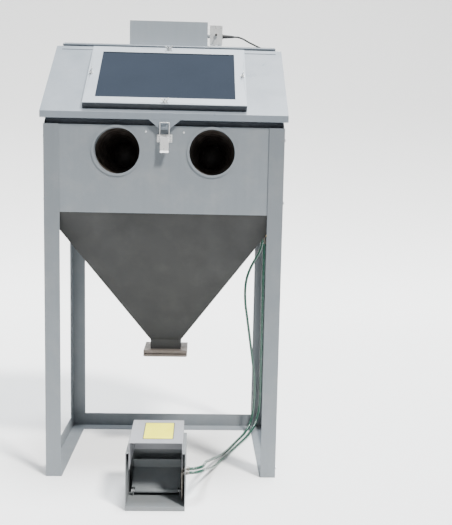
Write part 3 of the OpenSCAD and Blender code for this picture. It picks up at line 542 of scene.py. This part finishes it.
def coil_turns():
    """The wound part of the lead: four turns inwards on the deck, then back outwards on top of them."""
    lanes = [COIL_MIDDLE + LEAD_WIDTH * k for k in (1.5, 0.5, -0.5, -1.5)]
    stations = [(r, 0) for r in lanes] + [(r, 1) for r in reversed(lanes)]
    low = COIL_LIFT + LEAD_WIDTH / 2
    per_turn, crossing = 32, 0.30
    points = []
    for i in range(int(COIL_TURNS * per_turn) + 1):
        turn, part = divmod(i / per_turn, 1)
        r, layer = stations[int(turn)]
        next_r, next_layer = stations[min(int(turn) + 1, len(stations) - 1)]
        ease = max(0.0, (part - 1 + crossing) / crossing)
        ease = ease * ease * (3 - 2 * ease)
        angle = math.pi / 2 + 2 * math.pi * part
        radius = r + (next_r - r) * ease
        height = low + LEAD_WIDTH * (layer + (next_layer - layer) * ease)
        points.append(COIL_CENTRE + Vector((radius * math.cos(angle), radius * math.sin(angle), height)))
    return points


def run_cords():
    for name, route in (("gun_hose", GUN_HOSE), ("supply_hose", SUPPLY_HOSE)):
        path = smooth_path(place(route))
        hose = dress(tube(name, path, HOSE_WIDTH / 2), "hose")
        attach(hose, "root")
        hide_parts("air_hose_gun" if name == "gun_hose" else "air_hose_supply")
    coil = coil_turns()
    entry = Vector((coil[-1].x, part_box("power_plug")[1].y, PAN_TOP + PLUG_ENTRY))
    tail = [coil[-1] + (entry - coil[-1]) * k for k in (0.3, 0.65)]
    path = smooth_path(place(LEAD) + coil + tail + [entry], 0.005)
    lead = dress(tube("power_lead", path, LEAD_WIDTH / 2, 10), "rubber")
    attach(lead, "root")
    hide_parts("power_cord", "power_coil")


# ---- gloves ----


def glove_sleeve(name, side, centre):
    """Rubber sleeve that narrows to the wrist, sagging and creased more and more away from the port."""
    form = bmesh.new()
    around, rings = 72, 64
    start, deep = 0.008, 0.322
    wall_thick = 0.0022
    cuff, narrowing = 0.0925, 0.0325
    grid = []
    for j in range(rings + 1):
        t = j / rings
        y = start + (deep - start) * t
        fold = max(0.0, min(1.0, (y - 0.055) / 0.12))
        base = cuff - narrowing * max(0.0, (y - 0.046) / 0.244)
        ring = []
        for k in range(around):
            a = 2 * math.pi * k / around
            crease = 0.0034 * math.sin(y * 210 + 1.7 * math.sin(a + 0.6) + side)
            tuck = 0.0022 * math.sin(5 * a + y * 34) + 0.0014 * math.sin(9 * a - y * 61)
            r = base - wall_thick + fold * (crease + tuck - 0.004)
            sag = -0.010 * fold * t
            ring.append(form.verts.new(centre + Vector((r * math.cos(a), y, r * math.sin(a) + sag))))
        grid.append(ring)
    for j in range(rings):
        for k in range(around):
            n = (k + 1) % around
            form.faces.new((grid[j][k], grid[j + 1][k], grid[j + 1][n], grid[j][n]))
    bmesh.ops.recalc_face_normals(form, faces=form.faces)
    mesh = bpy.data.meshes.new(name)
    form.to_mesh(mesh)
    form.free()
    sleeve = link(name, mesh)
    wall = sleeve.modifiers.new("wall", "SOLIDIFY")
    wall.thickness = wall_thick
    wall.offset = 0.9
    return applied(sleeve)


def blob(form, centre, radii, tilt=0.0):
    made = bmesh.ops.create_uvsphere(form, u_segments=24, v_segments=16, radius=1)
    shape = Matrix.Translation(centre) @ Matrix.Rotation(tilt, 4, "X") @ Matrix.Diagonal((*radii, 1))
    bmesh.ops.transform(form, matrix=shape, verts=made["verts"])


def finger(form, root, tip, r_root, r_tip, steps=8):
    for i in range(steps + 1):
        t = i / steps
        blob(form, root.lerp(tip, t), (r_root + (r_tip - r_root) * t,) * 3)


def glove_hand(name, side, centre):
    """Empty hand hanging from the sleeve, fingers a little curled, thumb towards the middle."""
    form = bmesh.new()
    blob(form, centre + Vector((0, 0.318, -0.010)), (0.056, 0.030, 0.053), -0.1)
    blob(form, centre + Vector((0, 0.338, -0.016)), (0.049, 0.030, 0.040), -0.3)
    blob(form, centre + Vector((0, 0.362, -0.026)), (0.044, 0.045, 0.028), -0.4)
    blob(form, centre + Vector((0, 0.398, -0.042)), (0.041, 0.034, 0.021), -0.5)
    palm_end = 0.414
    for i, reach in enumerate((0.036, 0.047, 0.044, 0.032)):
        x = side * (0.030 - 0.020 * i)
        root = centre + Vector((x, palm_end, -0.047))
        knuckle = centre + Vector((x * 1.02, palm_end + reach * 0.7, -0.060))
        tip = centre + Vector((x * 0.95, palm_end + reach, -0.080))
        finger(form, root, knuckle, 0.0108, 0.0100)
        finger(form, knuckle, tip, 0.0100, 0.0086)
    thumb_root = centre + Vector((-side * 0.030, 0.360, -0.020))
    thumb_tip = centre + Vector((-side * 0.052, 0.402, -0.040))
    finger(form, thumb_root, thumb_tip, 0.0150, 0.0108)
    mesh = bpy.data.meshes.new(name)
    form.to_mesh(mesh)
    form.free()
    hand = link(name, mesh)
    skin = hand.modifiers.new("skin", "REMESH")
    skin.mode = "VOXEL"
    skin.voxel_size = 0.0032
    relax = hand.modifiers.new("relax", "SMOOTH")
    relax.iterations = 5
    applied(hand)
    for face in hand.data.polygons:
        face.use_smooth = True
    return hand


def hang_gloves():
    """One glove in each port, centred on its ring."""
    low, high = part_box("glove_rings")
    from_middle = high.x - (high.z - low.z) / 2
    for word, side in (("left", -1), ("right", 1)):
        centre = Vector((side * from_middle, FRONT, (low.z + high.z) / 2))
        sleeve = dress(glove_sleeve("glove_sleeve_" + word, side, centre), "glove")
        hand = dress(glove_hand("glove_hand_" + word, side, centre), "glove")
        for piece in (sleeve, hand):
            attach(piece, "root")
        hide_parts("glove_" + word)


# ---- the plunger's return spring ----


def wind_spring():
    """Six turns of wire under the plunger's collar."""
    low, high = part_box("pedal_spring")
    centre = (low + high) / 2
    wire, turns, per_turn = 0.0009, 6, 24
    radius = (high.x - low.x) / 2 - wire
    inset = 1.05 * wire
    foot, top = low.z + inset, high.z - inset
    path = []
    for i in range(turns * per_turn + 1):
        angle = 2 * math.pi * i / per_turn
        rise = foot + (top - foot) * i / (turns * per_turn)
        path.append(Vector((centre.x + radius * math.cos(angle), centre.y + radius * math.sin(angle), rise)))
    spring = dress(tube("spring_wire", path, wire * 0.97, 10), "spring")
    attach(spring, "root")
    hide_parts("pedal_spring")
    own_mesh(spring)


# ---- small things that sheet-metal CAD leaves out ----


def weld_bead(name, start, end, radius=0.0013):
    """A rippled bead of weld between two points."""
    ripple = 0.0022
    steps = max(8, round((end - start).length / ripple))
    path = [start.lerp(end, i / steps) for i in range(steps + 1)]
    bead = tube(name, path, radius, 8, lambda t: 1 + 0.16 * math.sin(t * steps * 1.9))
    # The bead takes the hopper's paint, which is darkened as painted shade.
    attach(dress(bead, "hopper"), "root")


def weld_hopper():
    """The hopper is four plates welded along their slanting edges."""
    low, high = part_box("hopper")
    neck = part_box("outlet_flange")
    inset = 0.0006
    half_neck, deep_neck, neck_top = 0.064, 0.050, 0.503
    middle = (neck[0].y + neck[1].y) / 2
    for i, sx in enumerate((-1, 1)):
        for j, (sy, edge) in enumerate(((-1, low.y), (1, high.y))):
            top = Vector((sx * (high.x - inset), edge - sy * inset, high.z - 0.002))
            foot = Vector((sx * (half_neck - inset), middle + sy * (deep_neck - inset), neck_top))
            weld_bead("hopper_weld_%d%d" % (i, j), top, foot)


def rounded_plate(name, corners, thick, radius, segments=6):
    """A thin plate on four corners given in order, with round corners, standing out along their normal."""
    normal = (corners[1] - corners[0]).cross(corners[3] - corners[0]).normalized()
    outline = []
    for i, corner in enumerate(corners):
        before = (corners[i - 1] - corner).normalized()
        after = (corners[(i + 1) % 4] - corner).normalized()
        middle = corner + (before + after) * radius
        for k in range(segments + 1):
            a = math.pi / 2 * k / segments
            outline.append(middle - radius * (math.cos(a) * after + math.sin(a) * before))
    form = bmesh.new()
    face = form.faces.new([form.verts.new(p) for p in outline])
    raised = bmesh.ops.extrude_face_region(form, geom=[face])
    moved = [v for v in raised["geom"] if isinstance(v, bmesh.types.BMVert)]
    bmesh.ops.translate(form, vec=normal * thick, verts=moved)
    bmesh.ops.recalc_face_normals(form, faces=form.faces)
    mesh = bpy.data.meshes.new(name)
    form.to_mesh(mesh)
    form.free()
    return link(name, mesh, False)


def stick_label():
    """A blank yellow plate with a dark rule round it, on top of the pedal's hood."""
    low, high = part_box("pedal_guard")
    hood_drop = 0.015
    rise = hood_drop / (high.y - low.y)
    lift, thick, corner = 0.0002, 0.0003, 0.004

    def on_hood(x, y, out):
        return Vector((x, y, high.z - (high.y - y) * rise + out))

    left, right = low.x + 0.046, high.x - 0.034
    near, far = low.y + 0.032, high.y - 0.026
    for name, inset, out, finish in (
        ("hood_label_rule", 0.0, lift, "label_rule"),
        ("hood_label", 0.0035, lift + thick, "label"),
    ):
        west, east = left + inset, right - inset
        south, north = near + inset, far - inset
        spots = [(west, south), (east, south), (east, north), (west, north)]
        plate = rounded_plate(name, [on_hood(x, y, out) for x, y in spots], thick, corner)
        plate.data.materials.append(FINISHES[finish])
        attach(plate, "root")


# ---- studio ----


def build_stage():
    """A pale floor curving up into a pale wall, a light overhead, one at the front right and a dim sky."""
    form = bmesh.new()
    reach, near, bend_at, radius, top = 5.0, -1.6, 3.2, 2.0, 7.0
    steps = 12
    quarter = [math.pi / 2 * k / steps for k in range(1, steps + 1)]
    line = [(near, 0.0), (bend_at, 0.0)]
    line += [(bend_at + radius * math.sin(a), radius * (1 - math.cos(a))) for a in quarter]
    line.append((bend_at + radius, top))
    rows = [[form.verts.new((x, y, z)) for x in (-reach, reach)] for y, z in line]
    for a, b in zip(rows, rows[1:]):
        form.faces.new((a[0], a[1], b[1], b[0]))
    mesh = bpy.data.meshes.new("backdrop")
    form.to_mesh(mesh)
    form.free()
    backdrop = link("backdrop", mesh)
    backdrop.data.materials.append(backdrop_paint("studio_paper", (0.93, 0.93, 0.92)))

    world = bpy.data.worlds.new("sky")
    world.use_nodes = True
    world.node_tree.nodes["Background"].inputs["Color"].default_value = (0.92, 0.95, 1.0, 1)
    world.node_tree.nodes["Background"].inputs["Strength"].default_value = 0.42
    bpy.context.scene.world = world

    for name, colour, energy, spread, towards in (
        ("overhead", (0.92, 0.96, 1.0), 6.6, 20, (0.10, 0.02, 0.99)),
        ("front", (1.0, 0.985, 0.96), 6.4, 9, (0.58, -0.62, 1.18)),
    ):
        lamp = bpy.data.objects.new(name, bpy.data.lights.new(name, "SUN"))
        lamp.data.energy = energy
        lamp.data.angle = math.radians(spread)
        lamp.data.color = colour
        lamp.rotation_euler = Vector(towards).to_track_quat("Z", "Y").to_euler()
        bpy.context.collection.objects.link(lamp)


make_camera()
run_cords()
dress_frame()
hang_gloves()
wind_spring()
weld_hopper()
stick_label()
build_stage()
